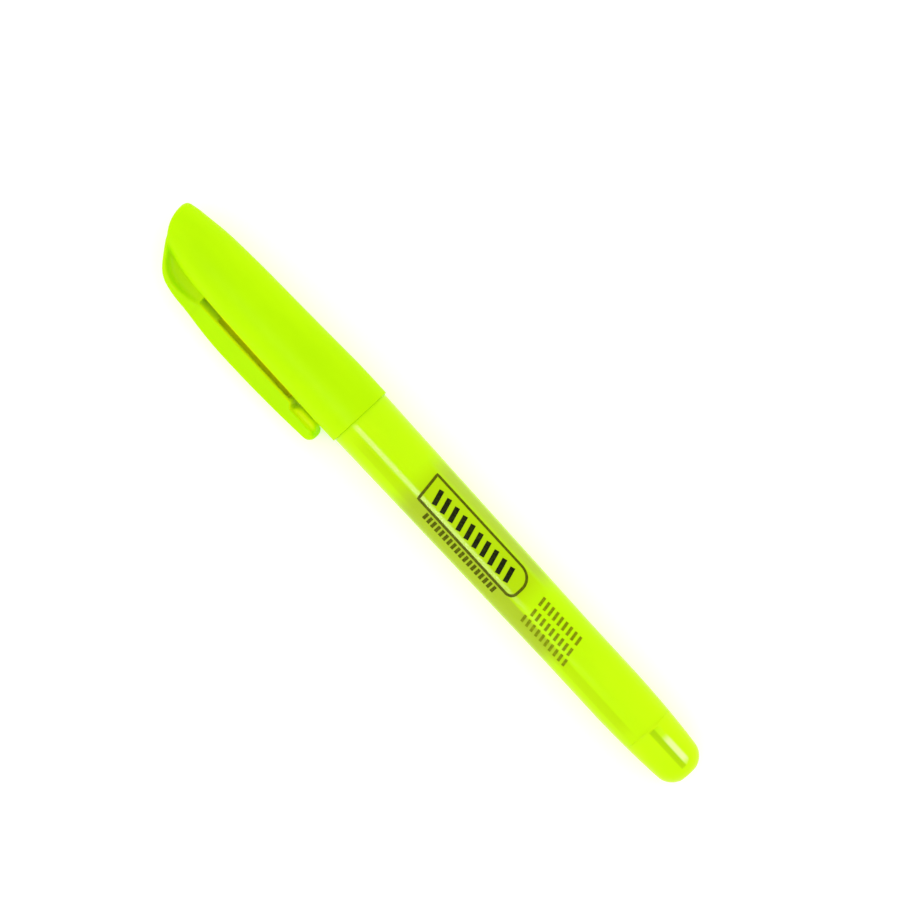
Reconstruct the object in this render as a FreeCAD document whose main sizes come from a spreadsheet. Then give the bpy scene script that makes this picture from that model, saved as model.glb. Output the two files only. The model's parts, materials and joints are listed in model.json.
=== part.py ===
import FreeCAD, Part

import math
import os

import Sketcher

# A slim pocket highlighter, capped and lying on its side.
#
# Every piece is modelled along +X, measured from the cap's tip, with the pen's axis at Y = Z = 0. The cap's
# group has its clip towards +Z. Placements then lay the pen down. Its axis dips slightly towards the tail, so
# that it rests on the cap's mouth and the barrel's grip. The cap is rolled until its clip meets the surface.

# Driving dimensions in millimetres. "at" is a distance from the cap's tip, "height" one from the pen's axis
# towards the clip.
DIMENSIONS = {
    # cap
    "cap_length": 49.1,
    "cap_mouth_radius": 6.3,
    "slant_curve": 40.0,
    "slant_curve_centre_at": 36.675,
    "slant_curve_centre_height": -18.26,
    "slant_top_height": 6.9,
    "mouth_rounding": 0.2,
    "cavity_start_at": 6.5,
    "cavity_start_radius": 3.3,
    "cavity_waist_at": 12.0,
    "cavity_waist_radius": 4.1,
    "cavity_mouth_radius": 5.45,
    # hump on the cap, with a scoop in each side, and the clip that carries on from it
    "hump_half_width": 3.5,
    "hump_foot_height": 2.0,
    "scoop_start_at": 5.7,
    "scoop_start_height": 5.0,
    "scoop_top_at": 12.6,
    "scoop_top_height": 8.7,
    "scoop_curve": 12.0,
    "scoop_end_at": 15.5,
    "scoop_end_height": 5.75,
    "scoop_floor_half_width": 1.9,
    "clip_split_at": 14.9,
    "clip_split_gap": 0.12,
    "clip_shoulder_at": 8.8,
    "clip_shoulder_height": 8.94,
    "clip_shoulder_curve": 5.953,
    "clip_crest_at": 25.0,
    "clip_crest_height": 10.88,
    "clip_tip_at": 46.6,
    "clip_tip_height": 9.9,
    "clip_tip_rounding": 1.0,
    "clip_flange_height": 7.05,
    "clip_flange_end_at": 39.2,
    "clip_toe_height": 8.05,
    "clip_half_width": 2.4,
    "clip_taper_end_at": 16.5,
    "clip_edge_rounding": 0.6,
    "channel_half_width": 1.3,
    "channel_floor_height": 9.3,
    "channel_start_at": 19.5,
    "channel_end_at": 38.2,
    "pad_half_width": 1.5,
    "pad_height": 6.85,
    "pad_start_at": 39.8,
    "pad_end_at": 46.0,
    "pad_ramp": 1.1,
    # inner cap
    "inner_cap_front_at": 10.5,
    "inner_cap_floor_at": 11.5,
    "inner_cap_flange_at": 27.0,
    "inner_cap_end_at": 29.5,
    "inner_cap_front_radius": 3.75,
    "inner_cap_back_radius": 4.05,
    "inner_cap_bore_radius": 3.28,
    # nib and its holder
    "nib_tip_at": 12.7,
    "nib_end_at": 51.0,
    "nib_radius": 2.1,
    "nib_wedge_at": 17.2,
    "nib_edge_half_height": 0.55,
    "nib_slant_length": 2.1,
    "holder_front_at": 17.6,
    "holder_front_radius": 2.7,
    "holder_land_at": 21.0,
    "holder_land_radius": 3.2,
    "holder_flange_at": 32.6,
    "holder_flange_radius": 4.7,
    "holder_seat_at": 36.0,
    "holder_end_at": 46.5,
    "air_groove_floor": 3.7,
    "air_groove_half_width": 0.4,
    "air_groove_count": 4,
    # barrel
    "spigot_clearance": 0.08,
    "shoulder_at": 49.2,
    "shoulder_radius": 5.93,
    "shoulder_chamfer": 0.2,
    "bead_at": 44.0,
    "bead_round": 0.6,
    "bead_rise": 0.04,
    "grip_start_at": 103.0,
    "grip_end_at": 116.0,
    "grip_radius": 5.3,
    "barrel_end_curve": 200.0,
    "seam_at": 124.2,
    "seam_radius": 5.05,
    "plug_bore_radius": 4.1,
    "plug_bore_end_at": 47.0,
    "ink_bore_at": 49.8,
    "ink_bore_front_radius": 4.7,
    "ink_bore_back_radius": 4.3,
    "tail_seat_at": 116.4,
    "rib_half_width": 0.25,
    "rib_inner_radius": 3.95,
    "rib_outer_radius": 4.85,
    "rib_start_at": 50.5,
    "rib_end_at": 113.0,
    "rib_count": 4,
    # reservoir
    "reservoir_front_at": 47.2,
    "reservoir_back_at": 114.5,
    "reservoir_radius": 3.75,
    "film_thickness": 0.12,
    # tail plug
    "pen_length": 135.0,
    "plug_front_at": 117.0,
    "plug_cavity_radius": 3.2,
    "plug_cavity_brow_at": 127.0,
    "plug_cavity_end_at": 130.5,
    "plug_cavity_end_radius": 1.8,
    "tail_brow_at": 131.9,
    "tail_brow_radius": 4.48,
    "tail_brow_curve": 150.0,
    "tail_round_curve": 3.8,
    "tail_flat_radius": 1.9,
    "notch_start_at": 124.7,
    "notch_end_at": 133.3,
    "notch_low": -1.3,
    "notch_deep": 0.78,
    "notch_high": 4.65,
    "notch_floor_height": 4.23,
    "notch_top_height": 5.4,
    # how it lies
    "clip_roll": 25.0,
    "barrel_roll": 26.0,
}

# Cross-sections of the cap's tapering front, each a circle whose centre stands off the axis towards the clip:
# distance from the tip, offset, radius. The collar at the mouth carries on from the last one.
CAP_SECTIONS = (
    (0.0, 0.0, 2.6),
    (0.8, 0.05, 3.45),
    (1.9, 0.1, 3.85),
    (5.2, 0.25, 4.55),
    (8.8, 0.38, 5.18),
    (15.0, 0.35, 5.6),
    (26.5, 0.25, 5.95),
    (35.0, 0.12, 6.12),
    (43.0, 0.0, 6.3),
)
for number, section in enumerate(CAP_SECTIONS):
    for part, value in zip(("at", "offset", "radius"), section):
        DIMENSIONS[f"cap_section{number}_{part}"] = value

FULL_TURN = 360
QUARTER_TURN = 90
NEAR = 0.02
HEADROOM = 2.0  # how far a cutting outline runs past the solid that it cuts

doc = FreeCAD.newDocument("highlighter")
sheet = doc.addObject("Spreadsheet::Sheet", "Dims")
for row, (alias, number) in enumerate(DIMENSIONS.items(), start=1):
    sheet.set(f"A{row}", alias)
    sheet.set(f"B{row}", str(number))
    sheet.setAlias(f"B{row}", alias)
doc.recompute()


class Size:
    """A number worked out from driving dimensions, and the expression that keeps it up to date."""

    def __init__(self, number, text):
        self.number = number
        self.text = text

    def combined(self, sign, other):
        other = as_size(other)
        numbers = {
            "+": lambda: self.number + other.number,
            "-": lambda: self.number - other.number,
            "*": lambda: self.number * other.number,
            "/": lambda: self.number / other.number,
        }
        return Size(numbers[sign](), f"({self.text} {sign} {other.text})")

    def __add__(self, other):
        return self.combined("+", other)

    def __sub__(self, other):
        return self.combined("-", other)

    def __mul__(self, other):
        return self.combined("*", other)

    def __truediv__(self, other):
        return self.combined("/", other)

    def __neg__(self):
        return Size(-self.number, f"(0 - {self.text})")


def as_size(value):
    """A dimension's name, a plain number or a Size, as a Size."""
    if isinstance(value, Size):
        return value
    if isinstance(value, str):
        return Size(DIMENSIONS[value], f"Dims.{value}")
    return Size(float(value), str(value))


def dim(name):
    """The driving dimension of that name."""
    return as_size(name)


def between(start, end, share):
    """The size that lies that share of the way from start to end."""
    return as_size(start) + (as_size(end) - start) * share


def cavity_radius(at):
    """The cap's inner radius behind its waist, where the bore widens evenly to the mouth."""
    share = (as_size(at) - "cavity_waist_at") / (dim("cap_length") - "cavity_waist_at")
    return between("cavity_waist_radius", "cavity_mouth_radius", share)


def spigot_radius(at):
    """The barrel's stepped-down front follows the cap's bore with a little clearance."""
    return cavity_radius(at) - "spigot_clearance"


def root(size):
    """The square root of a size."""
    return Size(math.sqrt(size.number), f"sqrt({size.text})")


def slant_height(at):
    """The height of the cap's slanted front, a shallow arc, at a distance from the tip."""
    run = dim("slant_curve_centre_at") - at
    return dim("slant_curve_centre_height") + root(dim("slant_curve") * "slant_curve" - run * run)


def slant_at(height):
    """The distance from the tip at which the slanted front has that height."""
    rise = as_size(height) - "slant_curve_centre_height"
    return dim("slant_curve_centre_at") - root(dim("slant_curve") * "slant_curve" - rise * rise)


def new_body(label):
    body = doc.addObject("PartDesign::Body", label)
    body.Label = label
    return body


def new_sketch(body, name, role, offset=None):
    """A sketch on one of the body's own origin planes, moved along the plane's normal by offset."""
    sketch = body.newObject("Sketcher::SketchObject", name)
    plane = next(f for f in body.Origin.OriginFeatures if f.Role == role)
    sketch.AttachmentSupport = [(plane, "")]
    sketch.MapMode = "FlatFace"
    if offset is not None:
        offset = as_size(offset)
        shift = FreeCAD.Vector(0, 0, offset.number)
        sketch.AttachmentOffset = FreeCAD.Placement(shift, FreeCAD.Rotation())
        sketch.setExpression(".AttachmentOffset.Base.z", offset.text)
    return sketch


def arc_between(start, end, curve):
    """The arc of radius |curve| from start to end. It bulges to the left of travel if curve is positive."""
    chord = end.sub(start)
    half = chord.Length / 2
    reach = math.sqrt(curve * curve - half * half)
    left = FreeCAD.Vector(-chord.y, chord.x, 0).normalize()
    centre = (start + end) * 0.5 - left * math.copysign(reach, curve)
    first, last = (end, start) if curve > 0 else (start, end)
    angles = [math.atan2(p.y - centre.y, p.x - centre.x) for p in (first, last)]
    if angles[1] < angles[0]:
        angles[1] += 2 * math.pi
    circle = Part.Circle(centre, FreeCAD.Vector(0, 0, 1), abs(curve))
    return Part.ArcOfCircle(circle, *angles)


def outline(sketch, corners):
    """Draws a closed outline, with every corner tied to the spreadsheet.

    Each corner is (x, y), or (x, y, curve) where the side that leaves it is an arc of that radius. The arc
    bulges to the left of travel, or to the right where the radius is negative.
    """
    points = [FreeCAD.Vector(as_size(c[0]).number, as_size(c[1]).number, 0) for c in corners]
    starts = []
    for number, corner in enumerate(corners):
        start = points[number]
        end = points[(number + 1) % len(points)]
        if len(corner) == 3:
            curve = as_size(corner[2])
            side = sketch.addGeometry(arc_between(start, end, curve.number))
            starts.append((side, 2, 1) if curve.number > 0 else (side, 1, 2))
            radius = sketch.addConstraint(Sketcher.Constraint("Radius", side, abs(curve.number)))
            sketch.setExpression(f"Constraints[{radius}]", f"abs({curve.text})")
        else:
            side = sketch.addGeometry(Part.LineSegment(start, end))
            starts.append((side, 1, 2))
    for number, (side, first, last) in enumerate(starts):
        following, next_first, _ = starts[(number + 1) % len(starts)]
        sketch.addConstraint(Sketcher.Constraint("Coincident", side, last, following, next_first))
    for (side, first, _), corner in zip(starts, corners):
        tie_point(sketch, side, first, "DistanceX", as_size(corner[0]), axis=-2)
        tie_point(sketch, side, first, "DistanceY", as_size(corner[1]), axis=-1)


def tie_point(sketch, side, end, kind, size, axis):
    """Ties one coordinate of a point to a size, or puts the point on the axis where the size is nothing."""
    if size.number == 0:
        sketch.addConstraint(Sketcher.Constraint("PointOnObject", side, end, axis))
        return
    index = sketch.addConstraint(Sketcher.Constraint(kind, -1, 1, side, end, size.number))
    sketch.setExpression(f"Constraints[{index}]", size.text)


def circle(sketch, x, y, radius):
    """Draws a circle tied to the spreadsheet."""
    centre = FreeCAD.Vector(as_size(x).number, as_size(y).number, 0)
    radius = as_size(radius)
    side = sketch.addGeometry(Part.Circle(centre, FreeCAD.Vector(0, 0, 1), radius.number))
    index = sketch.addConstraint(Sketcher.Constraint("Radius", side, radius.number))
    sketch.setExpression(f"Constraints[{index}]", radius.text)
    tie_point(sketch, side, 3, "DistanceX", as_size(x), axis=-2)
    tie_point(sketch, side, 3, "DistanceY", as_size(y), axis=-1)


def turned(body, kind, name, corners):
    """Revolves an outline of (distance from the tip, radius) corners about the pen's axis."""
    sketch = new_sketch(body, f"{name}_outline", "XZ_Plane")
    outline(sketch, corners)
    feature = body.newObject(f"PartDesign::{kind}", name)
    feature.Profile = sketch
    feature.ReferenceAxis = (sketch, ["H_Axis"])
    feature.Angle = FULL_TURN
    doc.recompute()
    return feature


def extruded(body, kind, name, sketch, length, sides="Symmetric"):
    """Pads or pockets a sketch: half of the length on each side of its plane, or all of it on one side."""
    length = as_size(length)
    feature = body.newObject(f"PartDesign::{kind}", name)
    feature.Profile = sketch
    feature.SideType = sides
    feature.Length = length.number
    feature.setExpression("Length", length.text)
    doc.recompute()
    return feature


def rounded(body, name, base, picks, radius):
    """Rounds the edges of the base feature that the test picks out."""
    radius = as_size(radius)
    picked = [f"Edge{n}" for n, edge in enumerate(base.Shape.Edges, start=1) if picks(edge)]
    feature = body.newObject("PartDesign::Fillet", name)
    feature.Base = (base, picked)
    feature.Radius = radius.number
    feature.setExpression("Radius", radius.text)
    doc.recompute()
    return feature


def repeated_round_axis(body, name, feature, count):
    """Repeats a feature evenly round the pen's axis."""
    pattern = body.newObject("PartDesign::PolarPattern", name)
    axis = next(f for f in body.Origin.OriginFeatures if f.Role == "X_Axis")
    pattern.Originals = [feature]
    pattern.Axis = (axis, [""])
    pattern.Angle = FULL_TURN
    pattern.Occurrences = DIMENSIONS[count]
    pattern.setExpression("Occurrences", f"Dims.{count}")
    body.Tip = pattern
    doc.recompute()
    return pattern


def middle_of(edge):
    """The point half way along an edge."""
    return edge.valueAt((edge.FirstParameter + edge.LastParameter) / 2)


def lies_at(edge, at):
    """True if both the edge's middle and its start are that far from the cap's tip."""
    ends = (middle_of(edge), edge.valueAt(edge.FirstParameter))
    return all(abs(point.x - at) < NEAR for point in ends)


def make_cap_shell():
    """The push-on cap: a tapering tube with a slanted front, and the scooped hump that carries the clip."""
    body = new_body("cap_shell")
    behind = dim("cap_length") + HEADROOM
    add_hump(body)
    rings = []
    for number in range(len(CAP_SECTIONS)):
        ring = new_sketch(body, f"section{number}", "YZ_Plane", f"cap_section{number}_at")
        circle(ring, 0, f"cap_section{number}_offset", f"cap_section{number}_radius")
        rings.append(ring)
    front = body.newObject("PartDesign::AdditiveLoft", "tapering_front")
    front.Profile = rings[0]
    front.Sections = rings[1:]
    doc.recompute()
    collar_at = f"cap_section{len(CAP_SECTIONS) - 1}_at"
    turned(body, "Revolution", "collar", [
        (collar_at, 0),
        (collar_at, "cap_mouth_radius"),
        ("cap_length", "cap_mouth_radius"),
        ("cap_length", 0),
    ])
    slant = new_sketch(body, "slant_outline", "XZ_Plane")
    outline(slant, [
        (-HEADROOM, slant_height(0)),
        (0, slant_height(0), "slant_curve"),
        (slant_at("slant_top_height"), "slant_top_height"),
        (-HEADROOM, "slant_top_height"),
    ])
    extruded(body, "Pocket", "slant", slant, dim("cap_mouth_radius") * 2)
    bore = turned(body, "Groove", "cavity", [
        ("cavity_start_at", 0),
        ("cavity_start_at", "cavity_start_radius"),
        ("cavity_waist_at", "cavity_waist_radius"),
        ("cap_length", "cavity_mouth_radius"),
        (behind, "cavity_mouth_radius"),
        (behind, 0),
    ])
    mouth = DIMENSIONS["cap_length"]
    rounded(body, "mouth_rounding", bore, lambda edge: lies_at(edge, mouth), "mouth_rounding")
    return body


def crown_curve(run, rise):
    """The radius of an arc that is level at its top and falls by rise over that run."""
    return (run * run + rise * rise) / (rise * 2)


def add_blade(body, name, beyond_crest):
    """Pads the side outline that the hump and the clip share, closed by the corners beyond its crest."""
    run = dim("clip_crest_at") - "clip_shoulder_at"
    rise = dim("clip_crest_height") - "clip_shoulder_height"
    side = new_sketch(body, f"{name}_outline", "XZ_Plane")
    outline(side, [
        (slant_at("slant_top_height"), "slant_top_height", "clip_shoulder_curve"),
        ("clip_shoulder_at", "clip_shoulder_height", crown_curve(run, rise)),
        *beyond_crest,
    ])
    extruded(body, "Pad", name, side, dim("hump_half_width") * 2)


def narrow_and_trim(body, start, end):
    """Narrows the blade behind its shoulder, and cuts it away between two distances from the tip.

    Each side narrows in a smooth double curve.
    """
    taper_length = dim("clip_taper_end_at") - "clip_shoulder_at"
    taper_depth = dim("hump_half_width") - "clip_half_width"
    curve = (taper_length * taper_length + taper_depth * taper_depth) / (taper_depth * 4)
    middle_at = between("clip_shoulder_at", "clip_taper_end_at", 0.5)
    middle_side = between("hump_half_width", "clip_half_width", 0.5)
    beyond_tip = dim("clip_tip_at") + HEADROOM
    beyond_side = dim("hump_half_width") + HEADROOM
    beyond_crest = dim("clip_crest_height") + HEADROOM
    for name, sign in (("upper_waist", 1), ("lower_waist", -1)):
        waist = new_sketch(body, f"{name}_outline", "XY_Plane")
        outline(waist, [
            ("clip_shoulder_at", dim("hump_half_width") * sign, curve * sign),
            (middle_at, middle_side * sign, curve * -sign),
            ("clip_taper_end_at", dim("clip_half_width") * sign),
            (beyond_tip, dim("clip_half_width") * sign),
            (beyond_tip, beyond_side * sign),
            ("clip_shoulder_at", beyond_side * sign),
        ])
        extruded(body, "Pocket", name, waist, beyond_crest * 2)
    trim = new_sketch(body, "trim_outline", "XZ_Plane")
    outline(trim, [
        (start, 0),
        (end, 0),
        (end, beyond_crest),
        (start, beyond_crest),
    ])
    return extruded(body, "Pocket", "trim", trim, beyond_side * 2)


def outer_height(at):
    """The height of the blade's outer surface, for telling its outer edges from the others."""
    shoulder, crest, tip = (DIMENSIONS[f"clip_{name}_at"] for name in ("shoulder", "crest", "tip"))
    if at < shoulder:
        return DIMENSIONS["slant_top_height"] + NEAR * 2
    top = DIMENSIONS["clip_crest_height"]
    run = crest - shoulder if at < crest else tip - crest
    drop = top - DIMENSIONS["clip_shoulder_height" if at < crest else "clip_tip_height"]
    curve = crown_curve(run, drop)
    return top - (curve - math.sqrt(curve * curve - (at - crest) ** 2))


def runs_across(edge):
    """True for an edge that stays at one distance from the tip, short of the clip's free end."""
    width = abs(edge.valueAt(edge.FirstParameter).x - edge.valueAt(edge.LastParameter).x)
    return width < NEAR and abs(middle_of(edge).x - DIMENSIONS["clip_tip_at"]) > NEAR


def is_outer_edge(edge):
    """True for the long outer edges of the hump or the clip, and the outer edge of the clip's free end."""
    point = middle_of(edge)
    off_middle = abs(point.y) > DIMENSIONS["pad_half_width"] or point.x > DIMENSIONS["clip_tip_at"] - NEAR
    return off_middle and point.z > outer_height(point.x) - NEAR and not runs_across(edge)


def add_hump(body):
    """The hump that runs up from the slanted front to the clip's root."""
    split = dim("clip_split_at") - dim("clip_split_gap") / 2
    add_blade(body, "hump", [
        ("clip_crest_at", "clip_crest_height"),
        ("clip_crest_at", "hump_foot_height"),
        (slant_at("hump_foot_height"), "hump_foot_height", "slant_curve"),
    ])
    trimmed = narrow_and_trim(body, split, dim("clip_crest_at") + HEADROOM)
    rounded(body, "hump_rounding", trimmed, is_outer_edge, "clip_edge_rounding")
    depth = dim("hump_half_width") - "scoop_floor_half_width"
    for name, sign in (("upper_scoop", -1), ("lower_scoop", 1)):
        scoop = new_sketch(body, f"{name}_outline", "XZ_Plane", dim("hump_half_width") * sign)
        outline(scoop, [
            ("scoop_start_at", "scoop_start_height", "scoop_curve"),
            ("scoop_top_at", "scoop_top_height"),
            ("scoop_end_at", "clip_flange_height"),
            ("scoop_end_at", "scoop_end_height"),
        ])
        cut = extruded(body, "Pocket", name, scoop, depth, "One side")
        cut.Reversed = sign < 0
        doc.recompute()


def make_clip():
    """The pocket clip: a narrow channel that carries on from the cap's hump and ends in a grip pad."""
    body = new_body("clip")
    run = dim("clip_tip_at") - "clip_crest_at"
    drop = dim("clip_crest_height") - "clip_tip_height"
    add_blade(body, "blade", [
        ("clip_crest_at", "clip_crest_height", crown_curve(run, drop)),
        ("clip_tip_at", "clip_tip_height"),
        ("clip_tip_at", "clip_toe_height"),
        ("clip_flange_end_at", "clip_toe_height"),
        ("clip_flange_end_at", "clip_flange_height"),
        ("clip_shoulder_at", "clip_flange_height"),
    ])
    narrow_and_trim(body, 0, dim("clip_split_at") + dim("clip_split_gap") / 2)
    channel = new_sketch(body, "channel_outline", "XY_Plane", "channel_floor_height")
    outline(channel, [
        ("channel_start_at", -dim("channel_half_width")),
        ("channel_end_at", -dim("channel_half_width")),
        ("channel_end_at", "channel_half_width"),
        ("channel_start_at", "channel_half_width"),
    ])
    extruded(body, "Pocket", "channel", channel, "clip_flange_height", "One side")
    pad = new_sketch(body, "pad_outline", "XZ_Plane")
    pad_root = dim("clip_toe_height") + "clip_edge_rounding"
    outline(pad, [
        ("pad_start_at", pad_root),
        ("pad_end_at", pad_root),
        (dim("pad_end_at") - "pad_ramp", "pad_height"),
        (dim("pad_start_at") + "pad_ramp", "pad_height"),
    ])
    blade = extruded(body, "Pad", "grip_pad", pad, dim("pad_half_width") * 2)

    def tip_corner(edge):
        at_tip = lies_at(edge, DIMENSIONS["clip_tip_at"])
        return at_tip and abs(middle_of(edge).y) > DIMENSIONS["clip_half_width"] - NEAR

    blade = rounded(body, "tip_rounding", blade, tip_corner, "clip_tip_rounding")
    rounded(body, "edge_rounding", blade, is_outer_edge, "clip_edge_rounding")
    return body


def make_inner_cap():
    """The soft cup pressed into the cap, which seals round the nib holder."""
    body = new_body("inner_cap")
    turned(body, "Revolution", "cup", [
        ("inner_cap_front_at", 0),
        ("inner_cap_front_at", "inner_cap_front_radius"),
        ("inner_cap_flange_at", "inner_cap_back_radius"),
        ("inner_cap_flange_at", cavity_radius("inner_cap_flange_at")),
        ("inner_cap_end_at", cavity_radius("inner_cap_end_at")),
        ("inner_cap_end_at", 0),
    ])
    turned(body, "Groove", "cup_bore", [
        ("inner_cap_floor_at", 0),
        ("inner_cap_floor_at", "inner_cap_bore_radius"),
        (dim("inner_cap_end_at") + HEADROOM, "inner_cap_bore_radius"),
        (dim("inner_cap_end_at") + HEADROOM, 0),
    ])
    return body


def make_nib_holder():
    """The front section: a cone and sealing land, a flange, and a grooved plug pressed into the barrel."""
    body = new_body("nib_holder")
    turned(body, "Revolution", "section", [
        ("holder_front_at", 0),
        ("holder_front_at", "holder_front_radius"),
        ("holder_land_at", "holder_land_radius"),
        ("holder_flange_at", "holder_land_radius"),
        ("holder_flange_at", "holder_flange_radius"),
        ("holder_seat_at", "holder_flange_radius"),
        ("holder_seat_at", "plug_bore_radius"),
        ("holder_end_at", "plug_bore_radius"),
        ("holder_end_at", 0),
    ])
    turned(body, "Groove", "nib_bore", [
        (dim("holder_front_at") - HEADROOM, 0),
        (dim("holder_front_at") - HEADROOM, "nib_radius"),
        (dim("holder_end_at") + HEADROOM, "nib_radius"),
        (dim("holder_end_at") + HEADROOM, 0),
    ])
    slot = new_sketch(body, "air_groove_outline", "YZ_Plane", "holder_flange_at")
    outline(slot, [
        (-dim("air_groove_half_width"), "air_groove_floor"),
        ("air_groove_half_width", "air_groove_floor"),
        ("air_groove_half_width", dim("holder_flange_radius") + HEADROOM),
        (-dim("air_groove_half_width"), dim("holder_flange_radius") + HEADROOM),
    ])
    length = dim("holder_end_at") - "holder_flange_at"
    groove = extruded(body, "Pocket", "air_groove", slot, length, "One side")
    groove.Reversed = True
    doc.recompute()
    repeated_round_axis(body, "air_grooves", groove, "air_groove_count")
    return body


def make_nib():
    """The felt nib: a round rod whose end is cut to a wedge and then slanted across."""
    body = new_body("nib")
    end = new_sketch(body, "rod_outline", "YZ_Plane", "nib_tip_at")
    circle(end, 0, 0, "nib_radius")
    extruded(body, "Pad", "rod", end, dim("nib_end_at") - "nib_tip_at", "One side")
    ahead = dim("nib_tip_at") - HEADROOM
    clear = dim("nib_radius") + HEADROOM
    for name, sign in (("upper_face", 1), ("lower_face", -1)):
        face = new_sketch(body, f"{name}_outline", "XZ_Plane")
        outline(face, [
            (ahead, dim("nib_edge_half_height") * sign),
            ("nib_tip_at", dim("nib_edge_half_height") * sign),
            ("nib_wedge_at", dim("nib_radius") * sign),
            ("nib_wedge_at", clear * sign),
            (ahead, clear * sign),
        ])
        extruded(body, "Pocket", name, face, clear * 2)
    slant = new_sketch(body, "nib_slant_outline", "XY_Plane")
    slant_end = dim("nib_tip_at") + "nib_slant_length"
    outline(slant, [
        ("nib_tip_at", -dim("nib_radius")),
        (slant_end, "nib_radius"),
        (slant_end, clear),
        (ahead, clear),
        (ahead, -dim("nib_radius")),
    ])
    extruded(body, "Pocket", "nib_slant", slant, clear * 2)
    return body


def make_barrel():
    """The barrel: a tube with a stepped-down front for the cap, a snap bead and inner ribs."""
    body = new_body("barrel")
    turned(body, "Revolution", "barrel_skin", [
        ("holder_seat_at", 0),
        ("holder_seat_at", spigot_radius("holder_seat_at")),
        ("shoulder_at", spigot_radius("shoulder_at")),
        ("shoulder_at", dim("shoulder_radius") - "shoulder_chamfer"),
        (dim("shoulder_at") + "shoulder_chamfer", "shoulder_radius"),
        ("grip_start_at", "grip_radius"),
        ("grip_end_at", "grip_radius", "barrel_end_curve"),
        ("seam_at", "seam_radius"),
        ("seam_at", 0),
    ])
    bead = new_sketch(body, "bead_outline", "XZ_Plane")
    bead_centre = spigot_radius("bead_at") + "bead_rise" - "bead_round"
    circle(bead, "bead_at", bead_centre, "bead_round")
    ring = body.newObject("PartDesign::Revolution", "bead")
    ring.Profile = bead
    ring.ReferenceAxis = (bead, ["H_Axis"])
    ring.Angle = FULL_TURN
    doc.recompute()
    turned(body, "Groove", "barrel_bore", [
        (dim("holder_seat_at") - HEADROOM, 0),
        (dim("holder_seat_at") - HEADROOM, "plug_bore_radius"),
        ("plug_bore_end_at", "plug_bore_radius"),
        ("ink_bore_at", "ink_bore_front_radius"),
        ("tail_seat_at", "ink_bore_back_radius"),
        ("tail_seat_at", "plug_bore_radius"),
        (dim("seam_at") + HEADROOM, "plug_bore_radius"),
        (dim("seam_at") + HEADROOM, 0),
    ])
    rib_end = new_sketch(body, "rib_outline", "YZ_Plane", "rib_start_at")
    outline(rib_end, [
        (-dim("rib_half_width"), "rib_inner_radius"),
        ("rib_half_width", "rib_inner_radius"),
        ("rib_half_width", "rib_outer_radius"),
        (-dim("rib_half_width"), "rib_outer_radius"),
    ])
    rib = extruded(body, "Pad", "rib", rib_end, dim("rib_end_at") - "rib_start_at", "One side")
    repeated_round_axis(body, "ribs", rib, "rib_count")
    return body


def make_tail_plug():
    """The rounded end pressed into the barrel, hollow inside, with a short V-shaped groove along it."""
    body = new_body("tail_plug")
    turned(body, "Revolution", "plug_skin", [
        ("plug_front_at", 0),
        ("plug_front_at", "plug_bore_radius"),
        ("seam_at", "plug_bore_radius"),
        ("seam_at", "seam_radius", "tail_brow_curve"),
        ("tail_brow_at", "tail_brow_radius", "tail_round_curve"),
        ("pen_length", "tail_flat_radius"),
        ("pen_length", 0),
    ])
    turned(body, "Groove", "plug_hollow", [
        (dim("plug_front_at") - HEADROOM, 0),
        (dim("plug_front_at") - HEADROOM, "plug_cavity_radius"),
        ("plug_cavity_brow_at", "plug_cavity_radius"),
        ("plug_cavity_end_at", "plug_cavity_end_radius"),
        ("plug_cavity_end_at", 0),
    ])
    notch = new_sketch(body, "notch_outline", "YZ_Plane", "notch_start_at")
    outline(notch, [
        ("notch_deep", "notch_floor_height"),
        ("notch_high", "notch_top_height"),
        ("notch_low", "notch_top_height"),
    ])
    length = dim("notch_end_at") - "notch_start_at"
    cut = extruded(body, "Pocket", "notch", notch, length, "One side")
    cut.Reversed = True
    doc.recompute()
    return body


def make_reservoir():
    """The ink-soaked fibre rod, with the nib's socket in its front, and the film wrapped round it."""
    length = dim("reservoir_back_at") - "reservoir_front_at"
    film_radius = dim("reservoir_radius") + "film_thickness"
    core = drilled("reservoir_core", dim("reservoir_radius"), length, dim("nib_radius"),
                   dim("nib_end_at") - "reservoir_front_at")
    film = drilled("reservoir_film", film_radius, length, dim("reservoir_radius"), length)
    return core, film


def drilled(label, radius, length, hole_radius, hole_length):
    """A cylinder along the pen's axis from the reservoir's front, with a hole from the same end."""
    solids = []
    for name, size, reach in (("rod", radius, length), ("hole", hole_radius, hole_length)):
        solid = doc.addObject("Part::Cylinder", f"{label}_{name}")
        solid.setExpression("Radius", size.text)
        solid.setExpression("Height", reach.text)
        along_x = FreeCAD.Rotation(FreeCAD.Vector(0, 1, 0), QUARTER_TURN)
        solid.Placement = FreeCAD.Placement(FreeCAD.Vector(DIMENSIONS["reservoir_front_at"], 0, 0), along_x)
        solid.setExpression("Placement.Base.x", "Dims.reservoir_front_at")
        solids.append(solid)
    cut = doc.addObject("Part::Cut", label)
    cut.Base, cut.Tool = solids
    cut.Label = label
    doc.recompute()
    return cut


def rest_rotation(roll):
    """Rolls a piece about the pen's axis, then dips its tail until the cap's mouth and the grip are level."""
    step = DIMENSIONS["cap_mouth_radius"] - DIMENSIONS["grip_radius"]
    dip = math.degrees(math.atan(step / (DIMENSIONS["grip_end_at"] - DIMENSIONS["cap_length"])))
    rolled = FreeCAD.Rotation(FreeCAD.Vector(1, 0, 0), roll)
    return FreeCAD.Rotation(FreeCAD.Vector(0, 1, 0), dip).multiply(rolled)


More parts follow.
